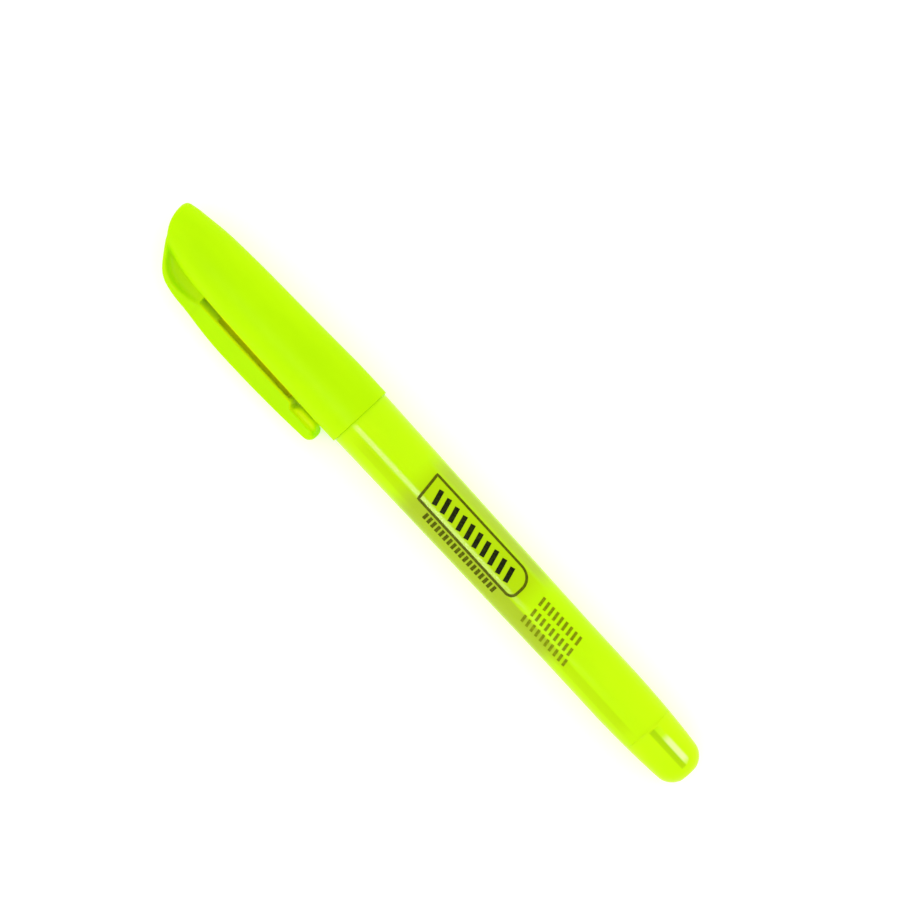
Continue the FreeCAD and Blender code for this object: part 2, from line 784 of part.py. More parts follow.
def lay_down(rolls):
    """Places every piece so that the pen lies on Z = 0, with the middle of its box over the origin."""
    whole = FreeCAD.BoundBox()
    for piece, roll in rolls.items():
        piece.Placement = FreeCAD.Placement(FreeCAD.Vector(), rest_rotation(roll))
        whole.add(piece.Shape.optimalBoundingBox())
    start = FreeCAD.Vector(-whole.Center.x, -whole.Center.y, -whole.ZMin)
    for piece, roll in rolls.items():
        piece.Placement = FreeCAD.Placement(start, rest_rotation(roll))
    return start


def check_and_write(pieces):
    """Stops on any failed object or bad solid, then writes each piece to its own file."""
    doc.recompute()
    for thing in doc.Objects:
        if "Invalid" in thing.State or "Error" in thing.State:
            raise RuntimeError(f"{thing.Label} failed: {thing.State}")
    for piece in pieces:
        if piece.Shape.isNull() or not piece.Shape.isValid() or len(piece.Shape.Solids) != 1:
            raise RuntimeError(f"{piece.Label} is not one valid solid")
    os.makedirs("parts", exist_ok=True)
    for piece in pieces:
        piece.Shape.exportStep(f"parts/{piece.Label}.step")
        box = piece.Shape.optimalBoundingBox()
        size = f"{box.XLength:.2f} x {box.YLength:.2f} x {box.ZLength:.2f}"
        print(f"{piece.Label}: {piece.Shape.Volume:.1f} mm3, {size}")


cap_roll = QUARTER_TURN + DIMENSIONS["clip_roll"]
core, film = make_reservoir()
piece_rolls = {
    make_cap_shell(): cap_roll,
    make_clip(): cap_roll,
    make_inner_cap(): cap_roll,
    make_nib(): 0,
    make_nib_holder(): 0,
    make_barrel(): DIMENSIONS["barrel_roll"],
    make_tail_plug(): 0,
    core: 0,
    film: 0,
}
pen_start = lay_down(piece_rolls)
check_and_write(piece_rolls)
print("cap tip at", pen_start)
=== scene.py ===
import json
import math

import bpy
import numpy as np
from mathutils import Matrix, Vector


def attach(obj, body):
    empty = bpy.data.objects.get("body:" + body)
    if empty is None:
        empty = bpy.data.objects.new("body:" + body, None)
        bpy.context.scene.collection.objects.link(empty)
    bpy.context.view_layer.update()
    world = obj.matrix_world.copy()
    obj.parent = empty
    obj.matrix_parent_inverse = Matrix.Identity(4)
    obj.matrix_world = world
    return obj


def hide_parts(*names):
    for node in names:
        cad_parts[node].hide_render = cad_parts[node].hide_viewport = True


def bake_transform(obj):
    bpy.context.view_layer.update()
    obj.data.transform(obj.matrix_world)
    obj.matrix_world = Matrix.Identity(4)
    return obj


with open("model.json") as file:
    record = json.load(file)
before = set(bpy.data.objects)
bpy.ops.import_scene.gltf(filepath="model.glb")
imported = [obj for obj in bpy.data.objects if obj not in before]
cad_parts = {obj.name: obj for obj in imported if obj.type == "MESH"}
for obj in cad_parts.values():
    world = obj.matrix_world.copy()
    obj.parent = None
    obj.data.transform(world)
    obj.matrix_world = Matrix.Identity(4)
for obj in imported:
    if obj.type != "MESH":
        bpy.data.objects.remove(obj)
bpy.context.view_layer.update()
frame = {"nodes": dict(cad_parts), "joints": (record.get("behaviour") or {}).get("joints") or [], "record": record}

# A slim pocket highlighter, capped and lying on a white surface, seen from straight above.
#
# Pieces are shaped in millimetres, measured along the pen from the cap's tip (x), across it (y) and
# towards the clip or upwards (z), and then placed by the frame's own joints and mounts. Soft moulded shapes
# are distance fields, negative inside, turned into evenly spaced quads that lie on the field's zero surface.

MM = 0.001
PEN_LENGTH = 135.0

# cap
CAP_LENGTH = 49.1
CAP_PLACES = (0.0, 0.8, 1.9, 5.2, 8.8, 15.0, 26.5, 35.0, 43.0, 49.2)
CAP_OFFSETS = (0.0, 0.05, 0.1, 0.25, 0.38, 0.35, 0.25, 0.12, 0.0, 0.0)
CAP_RADII = (2.6, 3.45, 3.85, 4.55, 5.18, 5.6, 5.95, 6.12, 6.3, 6.3)
SLANT_CURVE = 40.0
SLANT_CENTRE = (36.675, -18.26)
CAVITY_START = (6.5, 3.3)
CAVITY_WAIST = (12.0, 4.1)
CAVITY_MOUTH_RADIUS = 5.45

# hump and clip: a profile point is (distance from the tip, height from the axis)
SLANT_TOP = (5.578, 6.9)
CLIP_SHOULDER = (8.8, 8.94)
CLIP_CREST = (25.0, 10.88)
CLIP_TIP = (46.6, 9.9)
SHOULDER_CURVE = 5.953
HUMP_HALF_WIDTH = 3.5
CLIP_HALF_WIDTH = 2.4
TAPER_END = 16.5
CLIP_SPLIT = 14.9
FLANGE_HEIGHT = 7.05
FLANGE_END = 39.2
TOE_HEIGHT = 8.05
# the channel and the pad: start, end, half width, and the channel's floor or the pad's low side
CHANNEL = (19.5, 38.2, 1.3, 9.3)
PAD = (39.8, 46.0, 1.5, 6.85)
PAD_TOP = 8.6
SCOOP_PLACES = (3.0, 4.6, 5.6, 6.8, 8.4, 10.5, 12.5, 14.9, 17.0)
SCOOP_HEIGHTS = (2.6, 4.3, 5.6, 6.65, 7.4, 7.7, 7.65, 7.3, 7.05)
SCOOP_FLOOR = 2.0
# where the clip bends, and the height above which the moulding belongs to it
BENDING = (15.3, 19.5)
BENDING_HEIGHT = 6.6

# barrel and tail
SPIGOT_START = 36.0
SPIGOT_CLEARANCE = 0.08
BEAD_AT = 44.0
BEAD_RISE = 0.04
SHOULDER_AT = 49.12
SHOULDER_RADIUS = 5.93
GRIP_START = 103.0
GRIP_END = 116.0
GRIP_RADIUS = 5.3
SEAM_AT = 124.2
SEAM_RADIUS = 5.05
BARREL_END_CURVE = 200.0
PLUG_BORE = 4.1
INK_BORE = (4.7, 4.3)
INK_BORE_RUN = (49.8, 116.4)
HOLDER_SEAT_END = 47.0
RIBS = 4
RIB_RUN = (50.5, 113.0)
RIB_INNER_RADIUS = 3.95
BARREL_ROLL = 26.0
TAIL_FRONT = 117.0
TAIL_STEP = 0.06
TAIL_BROW = (131.9, 4.48)
TAIL_CURVE = 150.0
TAIL_ROUND = 3.8
TAIL_FLAT = 1.9
NOTCH_RUN = (124.7, 133.3)
NOTCH_DEEPEST = (0.78, 4.23)
NOTCH_STEEP = -0.5625
NOTCH_SHALLOW = 0.3023

# nib
NIB_TIP = 12.7
NIB_END = 51.0
NIB_RADIUS = 2.1
NIB_WEDGE = 17.2
NIB_EDGE = 0.55
NIB_SLANT = 2.1

# print: where the darker olive ground under it runs, and how far its ink stands on the barrel
PRINT_GROUND = (64.5, 92.5)
SIDE_PRINT_END = 103
PRINT_LIFT = 0.025

# studio and camera, in metres and degrees
WORLD_STRENGTH = 1.05
FLOOR_HALF_WIDTH = 1.5
FLOOR_GLOW = 0.25
CARD_ANGLE = 33.5
CARD_DISTANCE = 0.34
CARD_WIDTH = 0.1
CARD_LENGTH = 0.075
CARD_POWER = 1.15
CAMERA_HEIGHT = 0.9
FRAME_WIDTH = 0.1593
PEN_TURN = 47.33
LEFT_OF_CENTRE = 0.00345
BELOW_CENTRE = 0.00767

joints = {joint["name"]: joint for joint in frame["joints"]}
mounts = {mount["name"]: mount for mount in frame["record"]["mounts"]}
along = -Vector(joints["cap_slide"]["axis"]).normalized()
tip = Vector(mounts["tail_end"]["pos_m"]) - along * PEN_LENGTH * MM


def placed(across):
    """The matrix from millimetres on the pen to metres in the frame. across is the pen's y direction."""
    across = (across - along * across.dot(along)).normalized()
    axes = Matrix((along, across, along.cross(across))).transposed().to_4x4()
    axes.translation = tip
    return axes @ Matrix.Scale(MM, 4)


PEN = placed(Vector((0, 1, 0)))
CAP = placed(-Vector(joints["clip_flex"]["axis"]))
BARREL = PEN @ Matrix.Rotation(math.radians(BARREL_ROLL), 4, "X")
ROLL_BACK = np.array(Matrix.Rotation(math.radians(BARREL_ROLL), 2))


# ---------------------------------------------------------------- distance fields


def soft_min(a, b, blend):
    """The smaller of two fields, with the crease between them rounded."""
    overlap = np.maximum(blend - np.abs(a - b), 0) / blend
    return np.minimum(a, b) - overlap * overlap * blend / 4


def soft_max(a, b, blend):
    """The larger of two fields, with the edge between them rounded."""
    return -soft_min(-a, -b, blend)


class Profile:
    """A height that varies along the pen, finely sampled, with its slope."""

    def __init__(self, places, heights):
        self.places = np.array(places)
        self.heights = np.array(heights)
        self.slopes = np.gradient(self.heights, self.places)

    def at(self, x):
        return np.interp(x, self.places, self.heights)

    def over(self, x, height):
        """How far a height stands above the profile, measured square to it."""
        lean = np.interp(x, self.places, self.slopes)
        return (height - self.at(x)) / np.sqrt(1 + lean * lean)

    def softened(self, reach):
        """The same profile with its corners eased over that distance."""
        places = np.arange(self.places[0], self.places[-1], reach / 8)
        heights = self.at(places)
        weights = np.hanning(17)
        padded = np.pad(heights, 8, mode="edge")
        return Profile(places, np.convolve(padded, weights / weights.sum(), mode="valid"))


def smooth_through(places, values):
    """A profile that runs smoothly through a few points."""
    places, values = np.array(places), np.array(values)
    slopes = np.gradient(values, places)
    dense = np.linspace(places[0], places[-1], 1200)
    run = np.clip(np.searchsorted(places, dense, side="right") - 1, 0, len(places) - 2)
    width = places[run + 1] - places[run]
    t = (dense - places[run]) / width
    start = values[run] * (1 + 2 * t) * (1 - t) ** 2 + slopes[run] * width * t * (1 - t) ** 2
    end = values[run + 1] * t * t * (3 - 2 * t) + slopes[run + 1] * width * t * t * (t - 1)
    return Profile(dense, start + end)


def arc(start, end, curve, count=40):
    """Points on an arc of radius |curve| from start to end. It bulges downwards if curve is negative."""
    start, end = np.array(start, float), np.array(end, float)
    chord = end - start
    half = np.hypot(*chord) / 2
    square = np.array((-chord[1], chord[0])) / (2 * half)
    centre = (start + end) / 2 - square * math.copysign(math.sqrt(curve * curve - half * half), curve)
    first, last = (math.atan2(*(p - centre)[::-1]) for p in (start, end))
    turn = (last - first + math.pi) % (2 * math.pi) - math.pi
    angles = first + turn * np.linspace(0, 1, count)
    return [tuple(centre + abs(curve) * np.array((math.cos(a), math.sin(a)))) for a in angles]


def crown_curve(start, end):
    """The radius of the arc that is level at its higher end and passes through the other."""
    run, rise = abs(end[0] - start[0]), abs(end[1] - start[1])
    return (run * run + rise * rise) / (2 * rise)


def profile_of(*runs):
    """A profile through the points of several runs, leaving out any that doesn't lie further along."""
    points = [point for run in runs for point in run]
    kept = [points[0]]
    for point in points[1:]:
        if point[0] > kept[-1][0] + 1e-4:
            kept.append(point)
    return Profile(*zip(*kept))


def turned_field(outline):
    """The field of a closed (x, radius) outline turned about the pen's axis."""
    corners = np.array(outline, float)

    def field(x, y, z):
        place = np.stack((x, np.hypot(y, z)), axis=-1)
        nearest = np.full(x.shape, np.inf)
        inside = np.zeros(x.shape, bool)
        for start, end in zip(corners, np.roll(corners, -1, axis=0)):
            side = end - start
            if max(start[1], end[1]) > 0:
                share = np.clip(((place - start) @ side) / (side @ side), 0, 1)
                gap = place - start - share[..., None] * side
                nearest = np.minimum(nearest, np.hypot(gap[..., 0], gap[..., 1]))
            crosses = (start[0] > x) != (end[0] > x)
            with np.errstate(divide="ignore", invalid="ignore"):
                height = start[1] + (x - start[0]) * side[1] / side[0]
            inside ^= crosses & (place[..., 1] < height)
        return np.where(inside, -nearest, nearest)

    return field


def surface_net(field, low, high, step):
    """Evenly spaced quads on the zero surface of a field: one vertex for every grid cell that it crosses."""
    low = np.array(low, float)
    counts = [int(math.ceil((b - a) / step)) + 1 for a, b in zip(low, high)]
    lines = [a + step * np.arange(n) for a, n in zip(low, counts)]
    values = field(*np.meshgrid(*lines, indexing="ij"))
    cells = [n - 1 for n in counts]
    total = np.zeros((int(np.prod(cells)), 3))
    count = np.zeros(len(total))
    quads = []
    for axis in range(3):
        ahead = [slice(None)] * 3
        behind = [slice(None)] * 3
        ahead[axis], behind[axis] = slice(1, None), slice(None, -1)
        first, second = values[tuple(behind)], values[tuple(ahead)]
        index = np.argwhere((first < 0) != (second < 0))
        others = [a for a in range(3) if a != axis]
        fits = np.all([(index[:, a] > 0) & (index[:, a] < cells[a]) for a in others], axis=0)
        index = index[fits]
        a, b = first[tuple(index.T)], second[tuple(index.T)]
        crossing = index.astype(float)
        crossing[:, axis] += a / (a - b)
        ring = []
        for back_one, back_two in ((1, 1), (0, 1), (0, 0), (1, 0)):
            cell = index.copy()
            cell[:, others[0]] -= back_one
            cell[:, others[1]] -= back_two
            number = np.ravel_multi_index(cell.T, cells)
            np.add.at(total, number, crossing)
            np.add.at(count, number, 1)
            ring.append(number)
        face = np.stack(ring, axis=1)
        flips = (a < 0) != (axis != 1)
        face[flips] = face[flips][:, ::-1]
        quads.append(face)
    used = np.flatnonzero(count)
    renumbered = np.full(len(count), -1)
    renumbered[used] = np.arange(len(used))
    points = low + step * total[used] / count[used][:, None]
    return settle(field, points), renumbered[np.concatenate(quads)]


def settle(field, points, nudge=0.02, rounds=4):
    """Moves points straight onto the zero surface of a field."""
    for _ in range(rounds):
        height = field(*points.T)
        slope = np.empty_like(points)
        for axis in range(3):
            shift = np.zeros(3)
            shift[axis] = nudge
            slope[:, axis] = (field(*(points + shift).T) - field(*(points - shift).T)) / (2 * nudge)
        size = np.maximum((slope * slope).sum(axis=1), 0.05)
        points = points - np.clip(height / size, -0.1, 0.1)[:, None] * slope
    return points


# ---------------------------------------------------------------- meshes


def add_mesh(name, points, faces, matrix, material, tones=None):
    """A mesh from points in millimetres. tones gives named shares from 0 to 1 that its material mixes by."""
    mesh = bpy.data.meshes.new(name)
    points = np.asarray(points, float)
    mesh.from_pydata(points.tolist(), [], [tuple(int(n) for n in face) for face in faces])
    for tone, share in (tones(*points.T) if tones else {}).items():
        mesh.attributes.new(tone, "FLOAT", "POINT").data.foreach_set("value", np.clip(share, 0, 1))
    mesh.transform(matrix)
    mesh.validate()
    mesh.shade_smooth()
    mesh.materials.append(material)
    piece = bpy.data.objects.new(name, mesh)
    bpy.context.scene.collection.objects.link(piece)
    return piece


def moulded(name, field, low, high, step, matrix, material, tones=None):
    """A piece whose surface is a field's zero surface."""
    points, quads = surface_net(field, low, high, step)
    return add_mesh(name, points, quads, matrix, material, tones)


def window(place, start, end, fade):
    """1 between start and end, falling smoothly to 0 over the fade that is centred on each of them."""
    inside = np.minimum(place - start, end - place) / fade + 0.5
    inside = np.clip(inside, 0, 1)
    return inside * inside * (3 - 2 * inside)


def eased(outline, rounding, spacing=1.2, steps=5):
    """A closed outline with its corners rounded and its long sides divided."""
    corners = [np.array(c, float) for c in outline]
    soft = []
    for number, corner in enumerate(corners):
        before, after = corners[number - 1], corners[(number + 1) % len(corners)]
        into, out = corner - before, after - corner
        reach = min(rounding, np.hypot(*into) * 0.4, np.hypot(*out) * 0.4)
        start = corner - into / np.hypot(*into) * reach
        end = corner + out / np.hypot(*out) * reach
        for t in np.linspace(0, 1, steps):
            soft.append(start * (1 - t) ** 2 + corner * 2 * t * (1 - t) + end * t * t)
    points = []
    for start, end in zip(soft, soft[1:] + soft[:1]):
        parts = max(1, math.ceil(np.hypot(*(end - start)) / spacing))
        points += [start + (end - start) * n / parts for n in range(parts)]
    return np.array(points)


def turned_tube(name, outline, matrix, material, segments=160, shape=None, tones=None):
    """A tube turned from a closed (x, radius) outline. shape may change the radius by angle."""
    angles = 2 * math.pi * np.arange(segments) / segments
    x = np.repeat(outline[:, :1], segments, axis=1)
    radius = np.repeat(outline[:, 1:], segments, axis=1)
    angle = np.repeat(angles[None, :], len(outline), axis=0)
    if shape is not None:
        radius = shape(x, angle, radius)
    points = np.stack((x, radius * np.sin(angle), radius * np.cos(angle)), axis=-1).reshape(-1, 3)
    number = np.arange(len(outline) * segments).reshape(len(outline), segments)
    over = np.roll(number, -1, axis=0)
    faces = np.stack((number, over, np.roll(over, -1, axis=1), np.roll(number, -1, axis=1)), axis=-1)
    return add_mesh(name, points, faces.reshape(-1, 4), matrix, material, tones)


# ---------------------------------------------------------------- materials


class Nodes:
    """A material's node tree, with short calls for the nodes that the finishes share."""

    def __init__(self, name):
        self.material = bpy.data.materials.new(name)
        self.material.use_nodes = True
        self.tree = self.material.node_tree
        self.shader = self.tree.nodes["Principled BSDF"]
        self.place = self.add("ShaderNodeTexCoord").outputs["Object"]

    def add(self, kind, **settings):
        node = self.tree.nodes.new(kind)
        for key, value in settings.items():
            setattr(node, key, value)
        return node

    def link(self, source, socket):
        self.tree.links.new(source, socket)

    def noise(self, size_mm, detail=2.0, stretch=(1, 1, 1)):
        """Cloudy noise whose patches are about that size."""
        mapping = self.add("ShaderNodeMapping")
        mapping.inputs["Scale"].default_value = stretch
        noise = self.add("ShaderNodeTexNoise")
        noise.inputs["Scale"].default_value = 1 / (size_mm * MM)
        noise.inputs["Detail"].default_value = detail
        self.link(self.place, mapping.inputs["Vector"])
        self.link(mapping.outputs["Vector"], noise.inputs["Vector"])
        return noise.outputs["Fac"]

    def graded(self, source, low, high, start, end):
        """The source spread from start..end over low..high."""
        spread = self.add("ShaderNodeMapRange", interpolation_type="SMOOTHSTEP")
        for socket, value in (("From Min", start), ("From Max", end), ("To Min", low), ("To Max", high)):
            spread.inputs[socket].default_value = value
        self.link(source, spread.inputs["Value"])
        return spread.outputs["Result"]

    def mixed(self, share, first, second):
        """Two colours, or two colour sockets, mixed by a share."""
        mix = self.add("ShaderNodeMix", data_type="RGBA")
        self.link(share, mix.inputs["Factor"])
        for value, socket in ((first, mix.inputs[6]), (second, mix.inputs[7])):
            if isinstance(value, tuple):
                socket.default_value = (*value, 1)
            else:
                self.link(value, socket)
        return mix.outputs[2]

    def tone(self, name):
        """The share of that name that the mesh carries."""
        return self.add("ShaderNodeAttribute", attribute_name=name).outputs["Fac"]

    def bumped(self, *layers):
        """Fine relief from several noises: (source, height in millimetres)."""
        normal = None
        for source, height in layers:
            bump = self.add("ShaderNodeBump")
            bump.inputs["Strength"].default_value = 1.0
            bump.inputs["Distance"].default_value = height * MM
            self.link(source, bump.inputs["Height"])
            if normal is not None:
                self.link(normal, bump.inputs["Normal"])
            normal = bump.outputs["Normal"]
        self.link(normal, self.shader.inputs["Normal"])

    def set(self, **values):
        for key, value in values.items():
            self.shader.inputs[key.replace("_", " ")].default_value = value


def moulded_plastic(name, pale, deep, gloss, translucency, shine=0.3, tones=()):
    """Fluorescent moulded plastic: flow clouds, fine skin, tiny scuffs, and colours mixed in by named tones, most
    of them painted shade and highlights.
    """
    nodes = Nodes(name)
    flow = nodes.graded(nodes.noise(9.0, 3.0, (0.35, 1, 1)), 0, 1, 0.32, 0.68)
    colour = nodes.mixed(flow, deep, pale)
    for tone, tint in tones:
        colour = nodes.mixed(nodes.tone(tone), colour, tint)
    nodes.link(colour, nodes.shader.inputs["Base Color"])
    scuffs = nodes.noise(0.5, 6.0, (0.25, 1, 1))
    roughness = nodes.graded(scuffs, gloss - 0.04, gloss + 0.07, 0.3, 0.75)
    nodes.link(roughness, nodes.shader.inputs["Roughness"])
    nodes.bumped((nodes.noise(2.5, 2.0), 0.006), (nodes.noise(0.12, 2.0), 0.0006))
    nodes.set(IOR=1.5, Specular_IOR_Level=shine, Subsurface_Weight=translucency, Subsurface_Scale=1.2 * MM)
    nodes.shader.inputs["Subsurface Radius"].default_value = (1.0, 1.0, 0.15)
    return nodes.material


def cap_plastic():
    pale, deep = (0.535, 0.945, 0.001), (0.495, 0.89, 0.001)
    # painted shade: tints that stand in for the shade under the clip, in its channel and at its ends, and in the
    # hump's scoops
    tones = (("recess", (0.97, 1.0, 0.001)), ("slot", (0.72, 0.93, 0.001)), ("scoop", (0.50, 0.80, 0.001)))
    return moulded_plastic("cap_plastic", pale, deep, 0.42, 0.25, 0.015, tones)


def barrel_plastic():
    # painted shade: a dark line and band along the clip's side, and olive patches beside the print on the side
    # facing up; print_ground is a darker olive under the print
    tones = (
        ("shade", (0.51, 0.80, 0.001)),
        ("print_ground", (0.485, 0.74, 0.002)),
        ("print_far_side", (0.46, 0.66, 0.035)),
        ("print_near_side", (0.43, 0.58, 0.025)),
    )
    pale, deep = (0.60, 0.97, 0.002), (0.555, 0.94, 0.001)
    return moulded_plastic("barrel_plastic", pale, deep, 0.13, 0.2, 0.05, tones)


def tail_plastic():
    # painted shade on the notch's steep side and a painted highlight on its shallow side
    tones = (("groove", (0.46, 0.74, 0.001)), ("lens", (0.84, 0.98, 0.36)))
    return moulded_plastic("tail_plastic", (0.62, 0.98, 0.002), (0.58, 0.96, 0.001), 0.2, 0.25, 0.05, tones)


def holder_plastic():
    return moulded_plastic("holder_plastic", (0.60, 0.97, 0.01), (0.50, 0.90, 0.008), 0.38, 0.2)


def soft_white_plastic():
    return moulded_plastic("inner_cap_plastic", (0.86, 0.88, 0.78), (0.80, 0.83, 0.70), 0.45, 0.4)


def felt():
    """Bonded felt: fibres along the nib, soaked with ink."""
    nodes = Nodes("ink_felt")
    fibres = nodes.noise(0.18, 5.0, (0.12, 1, 1))
    colour = nodes.mixed(nodes.graded(fibres, 0, 1, 0.35, 0.65), (0.42, 0.72, 0.004), (0.66, 0.93, 0.02))
    nodes.link(colour, nodes.shader.inputs["Base Color"])
    nodes.bumped((fibres, 0.03), (nodes.noise(0.06, 3.0), 0.006))
    nodes.set(Roughness=0.85, Sheen_Weight=0.3, Sheen_Roughness=0.5)
    return nodes.material


def ink_fibre():
    """The reservoir's fibre rod: long strands, darker where the ink has gathered."""
    nodes = Nodes("ink_fibre")
    strands = nodes.noise(0.35, 5.0, (0.03, 1, 1))
    colour = nodes.mixed(nodes.graded(strands, 0, 1, 0.35, 0.65), (0.38, 0.66, 0.003), (0.62, 0.92, 0.01))
    nodes.link(colour, nodes.shader.inputs["Base Color"])
    nodes.bumped((strands, 0.04))
    nodes.set(Roughness=0.8)
    return nodes.material


def film():
    """The thin sleeve round the rod, slightly creased."""
    nodes = Nodes("wrap_film")
    creases = nodes.noise(1.6, 4.0, (0.3, 1, 1))
    colour = nodes.mixed(creases, (0.55, 0.85, 0.05), (0.74, 0.95, 0.16))
    nodes.link(colour, nodes.shader.inputs["Base Color"])
    nodes.bumped((creases, 0.03))
    nodes.set(Roughness=0.3)
    return nodes.material


def printed_ink(name, dark, worn):
    """Printed ink with slightly uneven cover."""
    nodes = Nodes(name)
    cover = nodes.graded(nodes.noise(0.4, 5.0), 0, 1, 0.35, 0.75)
    nodes.link(nodes.mixed(cover, dark, worn), nodes.shader.inputs["Base Color"])
    nodes.bumped((nodes.noise(0.15, 3.0), 0.002))
    nodes.set(Roughness=0.5, Specular_IOR_Level=0.03)
    return nodes.material


def white_board():
    """The pale floor, which gives off a little light so that it stays white round the pen."""
    nodes = Nodes("white_board")
    cloud = nodes.noise(60.0, 3.0)
    nodes.link(nodes.mixed(cloud, (0.93, 0.93, 0.93), (0.96, 0.96, 0.96)), nodes.shader.inputs["Base Color"])
    nodes.bumped((nodes.noise(0.6, 3.0), 0.01))
    nodes.set(Roughness=0.8, Specular_IOR_Level=0.1)
    nodes.set(Emission_Color=(1, 1, 1, 1), Emission_Strength=FLOOR_GLOW)
    return nodes.material


# ---------------------------------------------------------------- cap and clip


cap_centre = smooth_through(CAP_PLACES, CAP_OFFSETS)
cap_radius = smooth_through(CAP_PLACES, CAP_RADII)
slant_lean = (SLANT_TOP[1] - SLANT_CENTRE[1], SLANT_CENTRE[0] - SLANT_TOP[0])
clip_outside = profile_of(
    [(SLANT_TOP[0] - 4, SLANT_TOP[1] - 4 * slant_lean[1] / slant_lean[0])],
    arc(SLANT_TOP, CLIP_SHOULDER, SHOULDER_CURVE),
    arc(CLIP_SHOULDER, CLIP_CREST, crown_curve(CLIP_SHOULDER, CLIP_CREST)),
    arc(CLIP_CREST, CLIP_TIP, crown_curve(CLIP_CREST, CLIP_TIP)),
)
clip_inside = profile_of(
    [(0, FLANGE_HEIGHT), (FLANGE_END, FLANGE_HEIGHT)],
    [(FLANGE_END + 0.1, TOE_HEIGHT), (CLIP_TIP[0] + 1, TOE_HEIGHT)],
).softened(0.8)
taper_middle = ((CLIP_SHOULDER[0] + TAPER_END) / 2, (HUMP_HALF_WIDTH + CLIP_HALF_WIDTH) / 2)
taper_run, taper_depth = TAPER_END - CLIP_SHOULDER[0], HUMP_HALF_WIDTH - CLIP_HALF_WIDTH
taper_curve = (taper_run**2 + taper_depth**2) / (4 * taper_depth)
clip_width = profile_of(
    [(0, HUMP_HALF_WIDTH)],
    arc((CLIP_SHOULDER[0], HUMP_HALF_WIDTH), taper_middle, taper_curve),
    arc(taper_middle, (TAPER_END, CLIP_HALF_WIDTH), -taper_curve),
    [(CLIP_TIP[0] + 1, CLIP_HALF_WIDTH)],
)
scoop_rim = smooth_through(SCOOP_PLACES, SCOOP_HEIGHTS)
cavity = turned_field([
    (CAVITY_START[0], 0), CAVITY_START, CAVITY_WAIST,
    (CAP_LENGTH, CAVITY_MOUTH_RADIUS), (CAP_LENGTH + 3, CAVITY_MOUTH_RADIUS), (CAP_LENGTH + 3, 0),
])


def slant_field(x, z):
    """The arc that cuts the cap's end on a slant."""
    return np.hypot(x - SLANT_CENTRE[0], z - SLANT_CENTRE[1]) - SLANT_CURVE


def clip_field(x, y, z):
    """The hump and the clip that carries on from it, with the scoops, the channel and the grip pad."""
    crown = np.maximum(slant_field(x, z), clip_outside.over(x, z))
    skin = soft_max(crown, clip_width.over(x, np.abs(y)), 0.75)
    underside = soft_min(-clip_inside.over(x, z), x - CLIP_SPLIT, 0.5)
    blade = soft_max(skin, underside, 0.35)
    scoop = soft_max(scoop_rim.over(x, z), SCOOP_FLOOR - np.abs(y), 0.9)
    blade = soft_max(blade, -soft_max(scoop, x - CLIP_SPLIT, 0.9), 0.5)
    start, end, half, floor = CHANNEL
    ends = np.maximum(start - x, x - end)
    channel = soft_max(soft_max(ends, np.abs(y) - half, 0.8), z - floor, 0.5)
    blade = soft_max(blade, -channel, 0.35)
    start, end, half, low = PAD
    ramp = (z - TOE_HEIGHT) * 0.9
    ends = np.maximum(start - x, x - end) - np.minimum(ramp, 0)
    thickness = np.abs(z - (low + PAD_TOP) / 2) - (PAD_TOP - low) / 2
    pad = soft_max(soft_max(ends, np.abs(y) - half, 0.8), thickness, 0.8)
    blade = soft_min(blade, pad, 0.3)
    return soft_max(blade, x - CLIP_TIP[0], 1.7)


def cap_field(x, y, z):
    """The cap's hollow shell with the hump and clip on it."""
    wall = cap_radius.over(x, np.hypot(y, z - cap_centre.at(x)))
    shell = soft_max(soft_max(wall, -x, 0.7), x - CAP_LENGTH, 0.12)
    shell = soft_max(shell, slant_field(x, z), 0.8)
    hump = soft_max(clip_field(x, y, z), 1.5 - z, 0.3)
    weld = np.interp(x, (CLIP_SPLIT - 1, CLIP_SPLIT + 0.5), (0.4, 0.02))
    return soft_max(soft_min(shell, hump, weld), -cavity(x, y, z), 0.15)


def cap_tones(x, y, z):
    """Painted shade: where shade falls under the clip, in its channel and at its ends, and in the hump's scoops.
    """
    off_skin = cap_radius.over(x, np.hypot(y, z - cap_centre.at(x)))
    behind_clip = window(x, CLIP_SPLIT, CLIP_TIP[0] - 1.5, 1.2) * window(y, -3.5, 3.5, 1.0) * (z > 4.0)
    floor = window(off_skin, -9, 0.3, 0.3)
    underside = window(z, 0, clip_inside.at(x) + 0.25, 0.3) * (np.abs(y) < 2.3)
    in_channel = (np.abs(y) < CHANNEL[2] + 0.2) & (clip_outside.over(x, z) < -0.7)
    along_channel = window(x, CHANNEL[0] - 0.2, CHANNEL[1] + 0.2, 0.4)
    sunk = window(x, 4.6, CLIP_SPLIT, 1.2) * window(z, -9, scoop_rim.at(x) + 0.3, 0.9)
    return {
        # painted shade under the clip: a yellower tint along the channel and a darker one beyond its ends
        "recess": along_channel * behind_clip * np.maximum(floor, in_channel * (1 - underside)),
        "slot": behind_clip * np.maximum((1 - along_channel) * floor, underside),
        # painted shade in the hump's scoops
        "scoop": sunk * (off_skin > 0.08) * (np.abs(y) > 1.2),
    }


def make_cap():
    """The cap and its clip, one moulding that bends where the clip leaves the hump."""
    points, quads = surface_net(cap_field, (-0.89, -7.0, -7.0), (49.9, 7.0, 11.6), 0.26)
    middles = points[quads].mean(axis=1)
    on_clip = (middles[:, 0] > BENDING[0]) & (middles[:, 2] > BENDING_HEIGHT)
    plastic = cap_plastic()
    pieces = []
    for name, faces in (("cap_moulding", quads[~on_clip]), ("clip_arm", quads[on_clip])):
        used, renumbered = np.unique(faces, return_inverse=True)
        piece = add_mesh(name, points[used], renumbered.reshape(faces.shape), CAP, plastic, cap_tones)
        pieces.append(piece)
    cap, clip = pieces
    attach(cap, "cap")
    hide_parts("cap_shell")
    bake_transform(clip)
    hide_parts("clip")


